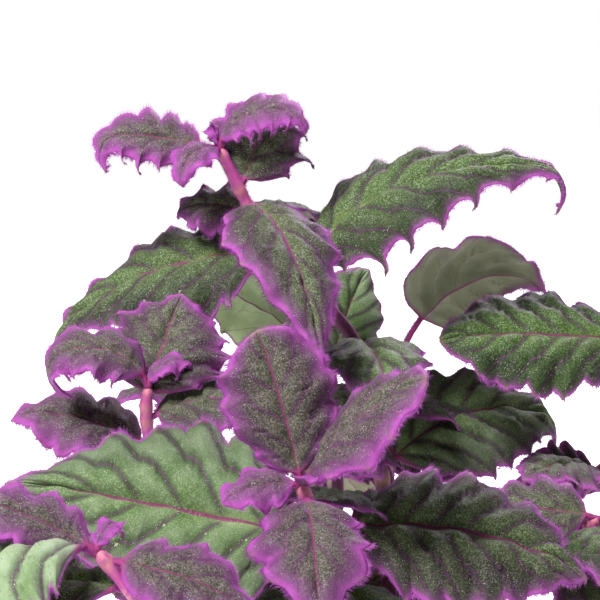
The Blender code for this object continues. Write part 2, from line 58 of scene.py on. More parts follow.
# %% [markdown]
# Shader maths reads best as arithmetic. Channel wraps one output socket, so that 1 - mask adds a Math
# node. Finish is one material, and its node method adds any other node.

# %% Helpers for materials
class Channel:
    """One number that varies over a surface, with the arithmetic of Math nodes."""

    def __init__(self, finish, socket):
        self.finish = finish
        self.socket = socket

    def maths(self, operation, *values):
        return self.finish.node("ShaderNodeMath", dict(enumerate(values)), operation=operation)

    __add__ = __radd__ = lambda self, other: self.maths("ADD", self, other)
    __mul__ = __rmul__ = lambda self, other: self.maths("MULTIPLY", self, other)
    __sub__ = lambda self, other: self.maths("SUBTRACT", self, other)
    __rsub__ = lambda self, other: self.maths("SUBTRACT", other, self)
    __truediv__ = lambda self, other: self.maths("DIVIDE", self, other)

    def fraction(self):
        return self.maths("FRACT", self)

    def size(self):
        return self.maths("ABSOLUTE", self)

    def step(self, low, high):
        """0 below low, 1 above high, smooth between; it falls where high is below low."""
        if low > high:
            return 1 - self.step(high, low)
        return self.finish.node("ShaderNodeMapRange", {0: self, 1: low, 2: high, 3: 0.0, 4: 1.0},
                                interpolation_type="SMOOTHSTEP")


class Finish:
    """A material on one Principled BSDF."""

    def __init__(self, name, **constants):
        self.material = bpy.data.materials.new(name)
        self.material.use_nodes = True
        self.tree = self.material.node_tree
        self.shader = self.tree.nodes["Principled BSDF"]
        self.wear(**constants)

    def node(self, kind, values=None, out=0, **settings):
        """Add a node: its settings first, then the values or links of its sockets."""
        node = self.tree.nodes.new(kind)
        for key, value in settings.items():
            setattr(node, key, value)
        for key, value in (values or {}).items():
            self.feed(node.inputs[key], value)
        return Channel(self, node.outputs[out])

    def feed(self, socket, value):
        """Link a channel to a socket, or set the socket's own value."""
        if isinstance(value, Channel):
            self.tree.links.new(value.socket, socket)
        else:
            socket.default_value = value

    def mark(self, name):
        """The mesh's mark of that name."""
        return self.node("ShaderNodeAttribute", out="Fac", attribute_name=name)

    def place(self):
        return self.node("ShaderNodeTexCoord", out="Object")

    def noise(self, scale, detail=2.0, roughness=0.5):
        values = {"Vector": self.place(), "Scale": scale, "Detail": detail, "Roughness": roughness}
        return self.node("ShaderNodeTexNoise", values)

    def cells(self, scale):
        return self.node("ShaderNodeTexVoronoi", {"Vector": self.place(), "Scale": scale}, out="Distance")

    def mix(self, share, first, second):
        """The first colour where share is 0 and the second where it is 1."""
        first, second = ((*c, 1) if isinstance(c, tuple) else c for c in (first, second))
        return self.node("ShaderNodeMix", {0: share, 6: first, 7: second}, out=2, data_type="RGBA")

    def coats(self, colour, *layers):
        """A colour with layers over it, each given as its share and its colour."""
        for share, layer in layers:
            colour = self.mix(share, colour, layer)
        return colour

    def bump(self, height, distance, strength):
        return self.node("ShaderNodeBump", {"Height": height, "Distance": distance, "Strength": strength})

    def wear(self, **sockets):
        """Set or feed the shader's sockets."""
        for socket, value in sockets.items():
            self.feed(self.shader.inputs[socket.replace("_", " ")], value)
        return self.material


print("materials are made with Finish and Channel")


# %% [markdown]
# Every piece is a mesh filled from whole arrays with foreach_set. A mark is one number for each place, such
# as its distance to the leaf's edge, which a material reads later.

# %% Helpers for meshes
def as_part(places, quads=(), tris=(), marks=None):
    """A part: its places, its faces as rows of place numbers, and its marks."""
    return {"places": places, "quads": np.reshape(quads, (-1, 4)).astype(int),
            "tris": np.reshape(tris, (-1, 3)).astype(int), "marks": marks or {}}


def join_parts(parts):
    """One part from several, with the numbers in their faces shifted to match."""
    start = np.cumsum([0] + [len(p["places"]) for p in parts[:-1]])
    quads, tris = (np.vstack([p[kind] + s for p, s in zip(parts, start)]) for kind in ("quads", "tris"))
    marks = {key: np.concatenate([p["marks"][key] for p in parts]) for key in parts[0]["marks"]}
    return as_part(np.vstack([p["places"] for p in parts]), quads, tris, marks)


def new_piece(name, part, material, smooth=True):
    """An object from one part."""
    quads, tris = part["quads"], part["tris"]
    mesh = bpy.data.meshes.new(name)
    mesh.vertices.add(len(part["places"]))
    mesh.vertices.foreach_set("co", part["places"].astype(np.float32).ravel())
    mesh.loops.add(quads.size + tris.size)
    mesh.loops.foreach_set("vertex_index", np.concatenate([quads.ravel(), tris.ravel()]).astype(np.int32))
    mesh.polygons.add(len(quads) + len(tris))
    starts = np.concatenate([np.arange(len(quads)) * 4, quads.size + np.arange(len(tris)) * 3])
    mesh.polygons.foreach_set("loop_start", starts.astype(np.int32))
    mesh.polygons.foreach_set("use_smooth", np.full(len(starts), smooth))
    for key, values in part["marks"].items():
        mesh.attributes.new(key, "FLOAT", "POINT").data.foreach_set("value", values.astype(np.float32))
    mesh.update(calc_edges=True)
    mesh.validate()
    mesh.materials.append(material)
    piece = bpy.data.objects.new(name, mesh)
    scene.collection.objects.link(piece)
    return piece


def grid_faces(rows, columns, closed=False):
    """Four-cornered faces between the rows of a grid; closed joins its last column to its first."""
    i, j = np.meshgrid(np.arange(rows - 1), np.arange(columns if closed else columns - 1), indexing="ij")
    n = (j + 1) % columns
    corners = (i * columns + j, (i + 1) * columns + j, (i + 1) * columns + n, i * columns + n)
    return np.stack([c.ravel() for c in corners], 1)


def tube(rings, ends, marks=None):
    """A closed part from rings of places and the two places that close its ends."""
    rows, sides = rings.shape[:2]
    first = np.arange(sides)
    after = (first + 1) % sides
    last = (rows - 1) * sides
    tris = [np.stack([np.full(sides, rows * sides), after, first], 1),
            np.stack([last + first, last + after, np.full(sides, rows * sides + 1)], 1)]
    return as_part(np.vstack([rings.reshape(-1, 3), ends]), grid_faces(rows, sides, closed=True)[:, ::-1],
                   np.vstack(tris), marks)


def circles(p, q, sides):
    """For each pair of the directions p and q, unit vectors all round their plane."""
    turn = np.arange(sides)[:, None] * 2 * math.pi / sides
    return p[:, None] * np.cos(turn) + q[:, None] * np.sin(turn)


def unit(vectors):
    """The same directions at length 1."""
    return vectors / np.linalg.norm(vectors, axis=-1, keepdims=True)


def ease(x):
    """Smooth step: 0 up to x = 0, 1 from x = 1, level at both ends."""
    x = np.clip(x, 0, 1)
    return x * x * (3 - 2 * x)


def distances(line):
    """How far along a line each of its points is."""
    return np.concatenate([[0], np.cumsum(np.linalg.norm(np.diff(line, axis=0), axis=1))])


def read_off(at, known, vectors):
    """Vectors given at known numbers, read off at others."""
    return np.stack([np.interp(at, known, column) for column in vectors.T], -1)


def ripple(places, wavelength, seed):
    """Smooth unevenness between about -1 and 1: six sine waves that run in drawn directions."""
    draw = np.random.default_rng(seed)
    ways = unit(draw.normal(size=(6, 3))) * 2 * math.pi / wavelength * draw.uniform(0.7, 1.4, (6, 1))
    return np.sin(places @ ways.T + draw.uniform(0, 6.3, 6)).mean(axis=-1) * 1.7


print("pieces are made with new_piece")


# %% [markdown]
# A leaf is one formula. Its midrib starts at a slope, droops and ends in a hook. Across the midrib each
# half is an arc that bends down to the edge, and the edge is cut into teeth and waved. The habit below
# is what a leaf does when its row says nothing else: angles are in degrees, lengths in millimetres.

# %% The leaf's habit
LEAF_HABIT = dict(
    bow=1.2,       # above 1 the turn comes late, below 1 it comes early
    hook=25,       # further turn down of the last stretch
    hook_at=0.78,  # where that stretch starts
    sweep=0,       # turn of the heading by the tip
    roll=0,        # tilt of the blade about its midrib
    cup=45,        # how far each half bends down towards its edge
    fold=12,       # how far both halves lift beside the midrib
    wave=1.6,      # height of the edge's waves
    teeth=5,       # teeth on each side
    depth=0.26,    # tooth depth over half the blade's width
    belly=0.36,    # where the blade is widest
    petiole=0.10,  # share of the length that is leaf stalk
    phase=0.0,     # shifts waves and tooth sizes from leaf to leaf
    # pale is also painted light on a few leaves in shade: a small share lightens their green
    pale=0.0,      # 1 for an old or shaded leaf of a light green
    ruffle=1.0,    # height of the edge's small waves, one for each tooth
    claw=0.25,     # length of the curled spurs on the teeth
    lobed=0.7,     # 0 for round bays between points and 1 for round lobes
    barbed=0,      # the edge with the bays and spurs: 1 left, -1 right, 0 both
    blush=None,    # 1 for a leaf more violet than green; None lets its length tell
)
STALK_RADIUS = 1.1 * MM
TOOTH_PEAK = 0.74        # where along its pitch a tooth is highest
TOOTH_CROWDING = 0.9     # below 1 the teeth are closer together near the base
TOOTH_MIDDLE = 0.45      # height within a tooth that counts as the plain outline
TOOTH_VARIETY = 0.45     # how much tooth sizes differ along one edge
ROUNDNESS = 0.62         # below 1 the blade's base is blunt
OPENS_BY = 0.10          # the blade has opened from the stalk by here
VEIN_LEAN = 0.30         # how far the edge lies ahead of its own point on the midrib
SWELL = 0.055            # height of the blade between its side veins, over half its width
EDGE_CURL = 0.015        # drop of the edge, over half its width
EDGE_CURL_FROM = 0.72    # where, out across the half, that drop starts
MIDRIB_SAMPLES = 97
TYPICAL_WIDTH = 45 * MM  # the finest forms are as given below on a leaf of this width
GROWN_LENGTH = 70 * MM   # the further a leaf is under this, the younger and more violet it is

# Forms too fine for the solids
VEIN_SLANT = 1.8         # tooth pitches that a side vein gains on its way to the edge
VEIN_DEPTH = 0.55 * MM
VEIN_WIDTH = 0.06        # of a tooth's pitch
MIDRIB_DEPTH = 1.8 * VEIN_DEPTH
MIDRIB_WIDTH = 0.05      # of the half
PILLOW = 1.6             # height of the fine blade's swells over those of the solid
SPUR_LENGTH = 5.0 * MM
SPUR_NARROWNESS = 0.06   # of a tooth's pitch
SPUR_FROM = 0.84         # a spur starts this far out across the half
SPUR_CURL = math.radians(140)
PLAIN_SPURS = 0.15       # length of the spurs on the edge that isn't barbed, over the others
PUCKER = 0.8 * MM
PUCKER_LENGTH = 9 * MM
EDGE_HALF_THICKNESS = 0.24 * MM
RIB_HALF_THICKNESS = 0.5 * MM
print(len(LEAF_HABIT), "habits of a leaf")


# %% The leaf
class Leaf:
    """One leaf: where it sits, how its midrib runs, and how its blade is cut and waved."""

    def __init__(self, down, head, rise, long, wide, droop, **habit):
        self.down, self.long, self.wide = down * MM, long * MM, wide * MM
        self.head, self.rise, self.droop = head, rise, droop
        self.habit = SimpleNamespace(**(LEAF_HABIT | habit))
        if self.habit.blush is None:
            self.habit.blush = max(0.0, 0.9 - self.long / GROWN_LENGTH)
        self.root = None
        self.seed = int(abs(head) * 7 + long * 13 + down)

    def midrib(self):
        """Places and frames along the midrib: its slope falls with the droop and then with the hook."""
        s = self.habit
        t = np.linspace(0, 1, MIDRIB_SAMPLES)
        last = ease((t - s.hook_at) / (1 - s.hook_at))
        slope = np.radians(self.rise - self.droop * t ** s.bow - s.hook * last)
        heading = np.radians(self.head + s.sweep * t)
        along = np.stack([np.cos(slope) * np.cos(heading), np.cos(slope) * np.sin(heading),
                          np.sin(slope)], 1)
        steps = (along[1:] + along[:-1]) / 2 * self.long / (MIDRIB_SAMPLES - 1)
        place = self.root + np.vstack([np.zeros(3), np.cumsum(steps, axis=0)])
        level = np.stack([-np.sin(heading), np.cos(heading), np.zeros_like(heading)], 1)
        upright = np.cross(along, level)
        roll = np.radians(s.roll)
        left = math.cos(roll) * level + math.sin(roll) * upright
        return t, place, along, left, np.cross(along, left)

    def half_width(self, u, side):
        """Half the blade's width at u, 0 at its base and 1 at its tip: an oval cut into teeth.

        Each tooth is a round bay between points, a round lobe, or a mixture of both.
        """
        s = self.habit
        peak = s.belly
        tip = ROUNDNESS * (1 - peak) / peak
        oval = u**ROUNDNESS * (1 - u) ** tip / (peak**ROUNDNESS * (1 - peak) ** tip)
        count = s.teeth * u**TOOTH_CROWDING
        turn = count - np.floor(count)
        from_bay = np.where(turn < TOOTH_PEAK, turn - TOOTH_PEAK + 0.5, turn - TOOTH_PEAK - 0.5) / 0.5
        bay = 1 - np.sqrt(np.maximum(1 - from_bay**2, 0))
        lobe = np.sin(math.pi * turn**1.5) ** 0.75
        smooth = np.where(side * s.barbed < 0, 1.0, s.lobed)
        tooth = bay * (1 - smooth) + lobe * smooth
        size = 1 + TOOTH_VARIETY * np.sin(2.4 * np.floor(count) + 1.9 * side + 5 * s.phase)
        width = self.wide / 2 * oval * (1 + s.depth * size * (tooth - TOOTH_MIDDLE))
        return width, oval, count, turn, size

    def surface(self, v, across):
        """The blade's middle surface and its marks, for v from root 0 to tip 1 and across from -1 to 1.

        Each half is an arc that lifts beside the midrib and bends down to the edge, plus edge waves, swells
        between the side veins, a groove along each vein, puckers, and a curled spur on each tooth.
        """
        s = self.habit
        v, across = np.broadcast_arrays(v, across)
        t, *frames = self.midrib()
        side = np.sign(across)
        m = np.abs(across)
        u = np.clip((v - s.petiole) / (1 - s.petiole), 0, 1)
        width, oval, count, turn, size = self.half_width(u, side)
        half = STALK_RADIUS * np.sqrt(1 - u) * (1 - 0.6 * ease(u / 0.06)) + width
        forward = VEIN_LEAN * u * (1 - u) * m**1.4 * self.wide / self.long
        place, along, left, up = (read_off(v + forward, t, vectors) for vectors in frames)
        opening = np.clip(u / OPENS_BY, 0, 1)
        cup = np.radians(s.cup) * opening + 1e-4
        fold = np.radians(s.fold) * opening
        tilt = fold - cup * m
        out = half / cup * (np.sin(fold) - np.sin(tilt))
        lift = half / cup * (np.cos(tilt) - np.cos(fold))
        middle = ease(u / 0.15) * ease((1 - u) / 0.2)
        turns = math.pi * count
        wave = s.wave * MM * m**2.2 * np.sin(turns + 1.3 * side + 9 * s.phase) * middle
        wave = wave + s.ruffle * MM * m**4 * np.sin(2.1 * turns + 2 * side + 4 * s.phase) * middle
        vein = count + VEIN_SLANT * (1 - m) - TOOTH_PEAK
        off_vein = np.abs(vein - np.round(vein))
        pillow = np.sqrt(0.5 - 0.5 * np.cos(2 * math.pi * vein)) * ease(m / 0.2) * (1 - m**3)
        groove = VEIN_DEPTH * np.exp(-((off_vein / VEIN_WIDTH) ** 2)) * ease(m / 0.08) * (1 - m**2)
        rib = MIDRIB_DEPTH * np.exp(-((m / MIDRIB_WIDTH) ** 2))
        curl = ease((m - EDGE_CURL_FROM) / (1 - EDGE_CURL_FROM))
        scale = np.clip(self.wide / TYPICAL_WIDTH, 0.4, 1.1)
        lift = lift + wave + self.wide / 2 * oval * opening * (PILLOW * SWELL * pillow - EDGE_CURL * curl)
        lift = lift - scale * opening * ease((1 - u) / 0.1) * (groove + rib)
        outward = left * (side * np.cos(tilt))[..., None] + up * np.sin(tilt)[..., None]
        normals = up * np.cos(tilt)[..., None] - left * (side * np.sin(tilt))[..., None]
        points = place + left * (side * out)[..., None] + up * lift[..., None]
        pucker = ripple(points, PUCKER_LENGTH * scale, self.seed) * PUCKER * scale * opening * middle
        points = points + normals * pucker[..., None]
        spur = np.exp(-(((turn - TOOTH_PEAK) / SPUR_NARROWNESS) ** 2)) * ease(u / 0.08) * ease((1 - u) / 0.06)
        reach = ease((m - SPUR_FROM) / (1 - SPUR_FROM))
        longest = s.claw * np.where(side * s.barbed < 0, PLAIN_SPURS, 1.0)
        length = SPUR_LENGTH * longest * scale * size * (0.4 + 0.6 * oval) / SPUR_CURL
        bend = reach * spur * SPUR_CURL
        aim = 1.4 * outward + 0.7 * along
        turned = unit(0.35 * outward - 0.85 * along - 0.4 * normals)
        points = points + aim * (length * np.sin(bend))[..., None]
        points = points + turned * (length * (1 - np.cos(bend)))[..., None]
        marks = dict(vein=vein, across=across, inset=(1 - m) * half / MM, stalk=1 - opening, length=u,
                     spur=np.maximum(spur * ease((m - 0.9) / 0.1), ease((u - 0.95) / 0.05)))
        return points, normals, along, outward, marks


TOOTH_STATIONS = (0, 0.16, 0.34, 0.5, 0.61, 0.67, 0.70, 0.72, 0.74, 0.76, 0.78, 0.81, 0.87, 0.94)
STALK_ROWS = 5
FINE_HALF = (0.03, 0.08, 0.16, 0.26, 0.37, 0.48, 0.59, 0.70, 0.79, 0.86, 0.91, 0.95, 0.98, 1.0)
PLAIN_HALF = (0.04, 0.12, 0.28, 0.46, 0.63, 0.77, 0.87, 0.94, 1.0)
FINE_FROM = 70 * MM      # a leaf at least this long gets the finer grid


def leaf_part(leaf):
    """The leaf as a closed part: an upper and a lower sheet on the same grid, joined all round."""
    s = leaf.habit
    count = np.add.outer(np.arange(s.teeth), TOOTH_STATIONS).ravel()[1:]
    blade = s.petiole + (1 - s.petiole) * (count / s.teeth) ** (1 / TOOTH_CROWDING)
    v = np.concatenate([np.linspace(0, s.petiole, STALK_ROWS), blade])
    half = np.array(FINE_HALF if leaf.long >= FINE_FROM else PLAIN_HALF)
    across = np.concatenate([-half[::-1], [0.0], half])
    points, normals, *_, marks = leaf.surface(v[:, None], across[None, :])
    m = np.abs(across)[None, :]
    stalk = marks["stalk"]
    blade_half = EDGE_HALF_THICKNESS + (RIB_HALF_THICKNESS - EDGE_HALF_THICKNESS) * (1 - m)
    stalk_half = STALK_RADIUS * np.sqrt(np.maximum(1 - m**2, 0.02))
    above = stalk * stalk_half + (1 - stalk) * blade_half
    below = above + (1 - stalk) * (1 - marks["length"]) * 0.5 * MM * np.exp(-((m / 0.07) ** 2))
    tip, *_, tip_marks = leaf.surface(np.ones(1), np.zeros(1))
    rows, columns = points.shape[:2]
    size = rows * columns
    upper = np.arange(size).reshape(rows, columns)
    lower = upper + size
    places = np.vstack([(points + normals * above[..., None]).reshape(-1, 3),
                        (points - normals * below[..., None]).reshape(-1, 3), tip])
    top = grid_faces(rows, columns)
    margin = np.concatenate([np.concatenate([sheet[::-1, 0], sheet[0, 1:], sheet[1:, -1]])
                             for sheet in (upper, lower)])
    sides = margin[grid_faces(2, len(margin) // 2)[:, ::-1]]
    end = np.concatenate([upper[-1], lower[-1, ::-1]])
    tris = np.stack([end, np.full(len(end), 2 * size), np.roll(end, -1)], 1)
    marks = {key: np.concatenate([mark.ravel(), mark.ravel(), tip_marks[key]]) for key, mark in marks.items()}
    marks["young"] = np.full(len(places), float(s.blush))
    marks["pale"] = np.full(len(places), float(s.pale))
    marks["under"] = np.repeat((0.0, 1.0, 0.0), (size, size, 1))
    return as_part(places, np.vstack([top, top[:, ::-1] + size, sides]), tris, marks)


print("a leaf is", LEAF_HABIT["teeth"] * len(TOOTH_STATIONS) + STALK_ROWS - 1, "rows of sections")


# %% [markdown]
# A leafy stem follows a smooth curve from its hole in the soil to its tip. Its leaves are written down
# from the tip: how far down they sit, where they head (0 is the picture's right, -90 towards the viewer),
# how steeply they start, how long and wide they are, and how far the midrib turns down by its tip.

# %% The leafy stem
SOIL_LEVEL = 98 * MM
STEM_FOOT = SOIL_LEVEL - 22 * MM
STEM_COLLAR = SOIL_LEVEL + 4 * MM
STEM_ROOT_RADIUS = 2.7 * MM
STEM_TIP_RADIUS = 1.8 * MM
PATH_SPANS = 24
PATH_STEP = 1 * MM
GOLDEN_ANGLE = 137.5     # turn from one leaf to the next
YOUNGEST = 0.45          # size of the top leaf over the lowest one
LOWERING = 22            # how many degrees flatter the lowest leaf starts than the top one


def smooth_path(p):
    """Points about PATH_STEP apart on a smooth curve through the given points (Catmull-Rom)."""
    p = np.vstack([2 * p[0] - p[1], p, 2 * p[-1] - p[-2]])
    t = np.linspace(0, 1, PATH_SPANS, endpoint=False)[:, None]
    spans = []
    for a, b, c, d in zip(p, p[1:], p[2:], p[3:]):
        spans.append(0.5 * (2 * b + (c - a) * t + (2 * a - 5 * b + 4 * c - d) * t**2
                            + (3 * b - a - 3 * c + d) * t**3))
    line = np.vstack(spans + [p[-2][None]])
    along = distances(line)
    return read_off(np.linspace(0, along[-1], round(along[-1] / PATH_STEP) + 1), along, line)


class Shoot:
    """A leafy stem: it stands straight in the soil, then follows its path to its tip."""

    def __init__(self, name, foot, *path):
        self.name = name
        self.foot = np.array((*foot, STEM_FOOT / MM)) * MM
        self.path = smooth_path(np.array([(*foot, STEM_COLLAR / MM), *path]) * MM)
        self.along = distances(self.path)
        self.leaves = []

    def bear(self, *leaves):
        """Set each leaf's root on the stem's axis."""
        for leaf in leaves:
            leaf.root = read_off(self.along[-1] - leaf.down, self.along, self.path)
            self.leaves.append(leaf)
        return self

    def grow(self, seed, count, start, step, long, wide, rise, outward, spread):
        """Leaves spaced evenly down the stem, larger lower down, in a fan about the outward heading."""
        draw = random.Random(seed)
        for k in range(count):
            share = k / max(1, count - 1)
            size = YOUNGEST + (1 - YOUNGEST) * share
            round_the_stem = (GOLDEN_ANGLE * k + 180) % 360 - 180
            head = outward + spread * round_the_stem + draw.uniform(-8, 8)
            slope = rise - LOWERING * share + draw.uniform(-5, 5)
            self.bear(Leaf(start + step * k, head, slope, long * size, wide * size, draw.uniform(45, 65),
                           hook=draw.uniform(10, 30), phase=draw.random(), teeth=5 if size > 0.7 else 4))
        return self


# %% Every leaf of the plant
SHOOTS = [
    Shoot("tall_stem", (22, 0), (21, 0, 116), (19, 0, 146), (16, -1, 168), (10, -4, 194), (1, -6, 208),
          (-15, -10, 226), (-27, -12, 245), (-37, -12, 265)).bear(
        Leaf(1, 181, 15, 50, 21, 28, roll=-50, bow=1.6, hook=105, hook_at=0.6, teeth=6, petiole=0.14,
             depth=0.34, belly=0.32, wave=0.5, claw=1.1, lobed=0, barbed=1, ruffle=0.4, blush=0.8),
        Leaf(2, -132, 30, 27, 14, 128, roll=-15, hook=30, teeth=3, wave=0.6, claw=0.8, blush=1),
        Leaf(0, 150, 75, 9, 5, 10, hook=10, teeth=2, blush=1),
        Leaf(1, -10, 82, 40, 19, 130, roll=35, bow=0.9, hook=45, teeth=6, petiole=0.08, depth=0.34,
             wave=0.5, claw=0.9, lobed=0, barbed=-1, ruffle=0.4, blush=1),
        Leaf(16, 25, 70, 34, 32, 12, roll=56, hook=30, teeth=4, petiole=0.12, depth=0.3, claw=0.9,
             lobed=0.2, barbed=-1, blush=0.5),
        Leaf(22, -67, 12, 84, 35, 86, bow=0.8, hook=0, teeth=6, petiole=0.05, depth=0.12, belly=0.28,
             wave=1.2, claw=0.2, lobed=0.8, blush=0.45),
        Leaf(24, 58, 8, 46, 22, 55, teeth=4, pale=0.5),
        Leaf(25, 154, 16, 32, 21, 42, roll=-40, hook=50, teeth=4, depth=0.24, lobed=0.8, ruffle=2,
             blush=0.55),
        Leaf(41, 169, -2, 106, 52, 58, roll=-30, bow=1.3, hook=70, hook_at=0.74, teeth=7, petiole=0.05,
             depth=0.18, belly=0.25, claw=0.3, lobed=0.6, ruffle=2.6, blush=0.15),
        Leaf(50, -3, 56, 115, 50, 78, roll=26, bow=1, hook=100, hook_at=0.8, teeth=8, petiole=0.06,
             depth=0.26, belly=0.24, wave=1.2, claw=0.62, lobed=0.2, barbed=-1, blush=0.1),
        # Painted light: the pale share of 0.1 lightens this leaf, which sits in shade
        Leaf(86, -80, 35, 56, 36, 75, bow=0.8, petiole=0.06, depth=0.16, wave=1, pale=0.1, lobed=0.9,
             blush=0.1),
        Leaf(95, 152, 10, 62, 36, 50),
        Leaf(112, 40, 10, 56, 34, 45),
        # Painted light: the pale share of 0.2 lightens this leaf, which sits in the shade of the leaves above
        Leaf(135, 18, 60, 84, 52, 98, roll=30, bow=0.9, hook=50, teeth=7, depth=0.14, belly=0.33, wave=1,
             pale=0.2, claw=0.2, lobed=0.9, blush=0.1),
        Leaf(104, -106, 28, 48, 36, 60),
        Leaf(126, -126, 26, 50, 38, 50),
        Leaf(150, -62, 12, 74, 42, 55, teeth=6)),
    Shoot("left_stem", (-30, -6), (-38, -14, 122), (-53, -27, 149), (-59, -37, 170), (-60, -41, 183),
          (-59, -42, 191)).bear(
        Leaf(1, 183, 80, 54, 23, 150, roll=-30, bow=0.85, hook=90, hook_at=0.55, belly=0.3, claw=0.7,
             lobed=0.3, barbed=1, blush=0.75),
        Leaf(0, 10, 78, 20, 10, 125, roll=20, teeth=3, claw=0.6, blush=1),
        Leaf(7, 58, 66, 40, 44, 16, roll=12, hook=10, teeth=6, petiole=0.12, depth=0.2, claw=0.5, lobed=0.6,
             ruffle=1.6, blush=0.6),
        Leaf(12, -5, 32, 42, 36, 50, roll=20, teeth=4, blush=0.5),
        Leaf(24, 178, 32, 50, 30, 40, roll=-30, hook=30, lobed=0.8, blush=0.9),
        Leaf(34, 125, 12, 56, 34, 50)),
    Shoot("front_stem", (-4, -36), (-3, -52, 118), (-3, -75, 142), (-5, -92, 160), (-8, -99, 172),
          (-10, -101, 178)).bear(
        Leaf(2, 152, 76, 48, 33, 8, roll=-60, hook=10, depth=0.12, belly=0.5, claw=0.1, lobed=1, blush=0.7),
        Leaf(2, -20, 64, 53, 32, 34, roll=30, bow=0.8, hook=10, teeth=4, petiole=0.08, depth=0.14,
             belly=0.48, claw=0.1, lobed=1, blush=0.75),
        Leaf(1, 195, 15, 25, 16, 50, roll=-25, teeth=3, belly=0.42, claw=0.1, lobed=1, blush=1),
        Leaf(5, -85, 0, 50, 31, 60, teeth=4, claw=0.1, lobed=1, blush=0.8),
        Leaf(0, -60, 45, 10, 6, 60, teeth=2, blush=1),
        Leaf(25, 176, 11, 96, 62, 2, roll=-50, hook=10, teeth=7, petiole=0.08, depth=0.2, belly=0.3,
             pale=0.3, claw=0.2, lobed=0.9),
        Leaf(20, 0, 8, 85, 50, 40, roll=32, hook=10, teeth=8, petiole=0.12, depth=0.16, belly=0.37,
             claw=0.2, lobed=1, blush=0.3),
        Leaf(9, 62, 0, 40, 32, 40, blush=0.1),
        Leaf(50, -112, 0, 58, 40, 55),
        Leaf(56, -48, 0, 66, 40, 55)),
    Shoot("front_left_stem", (-34, -28), (-38, -52, 113), (-35, -92, 121), (-41, -118, 135),
          (-54, -127, 152), (-66, -127, 167)).bear(
        Leaf(1, 178, 34, 42, 22, 25, roll=-30, teeth=4, belly=0.34, claw=0.1, lobed=1, blush=0.85),
        Leaf(0, 60, 70, 14, 8, 110, teeth=3, claw=0.2, blush=1),
        Leaf(4, -12, 0, 46, 25, 36, roll=30, teeth=4, claw=0.1, lobed=1, blush=0.8),
        Leaf(5, 174, 48, 76, 57, 138, sweep=86, bow=0.8, hook=10, petiole=0.12, pale=0.8, lobed=0.9),
        Leaf(27, -52, -4, 46, 32, 50),
        Leaf(15, 160, 6, 44, 36, 40, blush=0.1)),
    Shoot("right_stem", (42, 4), (62, 4, 116), (87, 2, 138), (102, 0, 156), (109, -4, 178), (112, -8, 200),
          (113, -8, 210)).bear(
        Leaf(1, -20, 65, 30, 16, 80, teeth=4),
        Leaf(0, 110, 65, 24, 13, 70, teeth=4),
        Leaf(13, 184, 8, 75, 46, 12, roll=-34, hook=10, teeth=7, depth=0.16, belly=0.44, claw=0.3,
             lobed=0.9),
        Leaf(17, -10, 20, 50, 30, 70),
        Leaf(66, 189, 4, 27, 22, 10, roll=-62, hook=10, belly=0.42, claw=0.1, lobed=1, blush=0.6),
        Leaf(40, 60, 30, 50, 32, 50),
        Leaf(66, -146, 26, 38, 34, 40, teeth=6),
        Leaf(82, 85, 12, 56, 34, 50)),
    Shoot("back_right_stem", (24, 34), (24, 44, 120), (24, 52, 148), (25, 58, 171)).bear(
        Leaf(3, 8, 69, 86, 60, 120, roll=-58, bow=1.7, hook=10, teeth=6, petiole=0.3, belly=0.22, depth=0.1,
             claw=0.2, lobed=0.9)).grow(
        seed=3, count=2, start=20, step=13, long=64, wide=40, rise=20, outward=-14, spread=0.35),
    Shoot("back_stem", (2, 22), (4, 30, 130), (3, 38, 160), (1, 40, 182)).bear(
        Leaf(2, 180, 44, 66, 44, 30, roll=50, depth=0.12, pale=1, lobed=0.9),
        Leaf(4, 55, 62, 42, 30, 20, roll=45, depth=0.08, pale=0.4, lobed=0.9, blush=0),
        Leaf(1, 12, 15, 24, 13, 20, teeth=3, pale=1, blush=0)),
    Shoot("back_left_stem", (-26, 28), (-36, 44, 126), (-46, 58, 150), (-50, 66, 171)).grow(
        seed=8, count=6, start=1, step=10, long=66, wide=40, rise=22, outward=149, spread=0.42),
    Shoot("far_back_stem", (0, 47), (-2, 66, 124), (-8, 82, 150), (-12, 90, 174)).grow(
        seed=13, count=6, start=1, step=11, long=62, wide=38, rise=22, outward=76, spread=0.4),
    Shoot("low_left_stem", (-46, 8), (-64, 12, 114), (-84, 18, 124), (-98, 22, 136)).grow(
        seed=21, count=4, start=1, step=10, long=56, wide=34, rise=20, outward=190, spread=0.4),
    Shoot("low_right_stem", (43, -16), (56, -26, 120), (74, -38, 134), (88, -46, 148)).bear(
        Leaf(1, 172, 14, 40, 28, 30, roll=-35, teeth=4, lobed=0.8, blush=0.5),
        Leaf(3, 150, -20, 34, 34, 10, roll=-30, blush=0.1),
        Leaf(6, -72, 10, 42, 38, 40, blush=0.1)).grow(
        seed=34, count=4, start=1, step=10, long=58, wide=36, rise=20, outward=-40, spread=0.3),
]
print(len(SHOOTS), "leafy stems,", sum(len(s.leaves) for s in SHOOTS), "leaves")
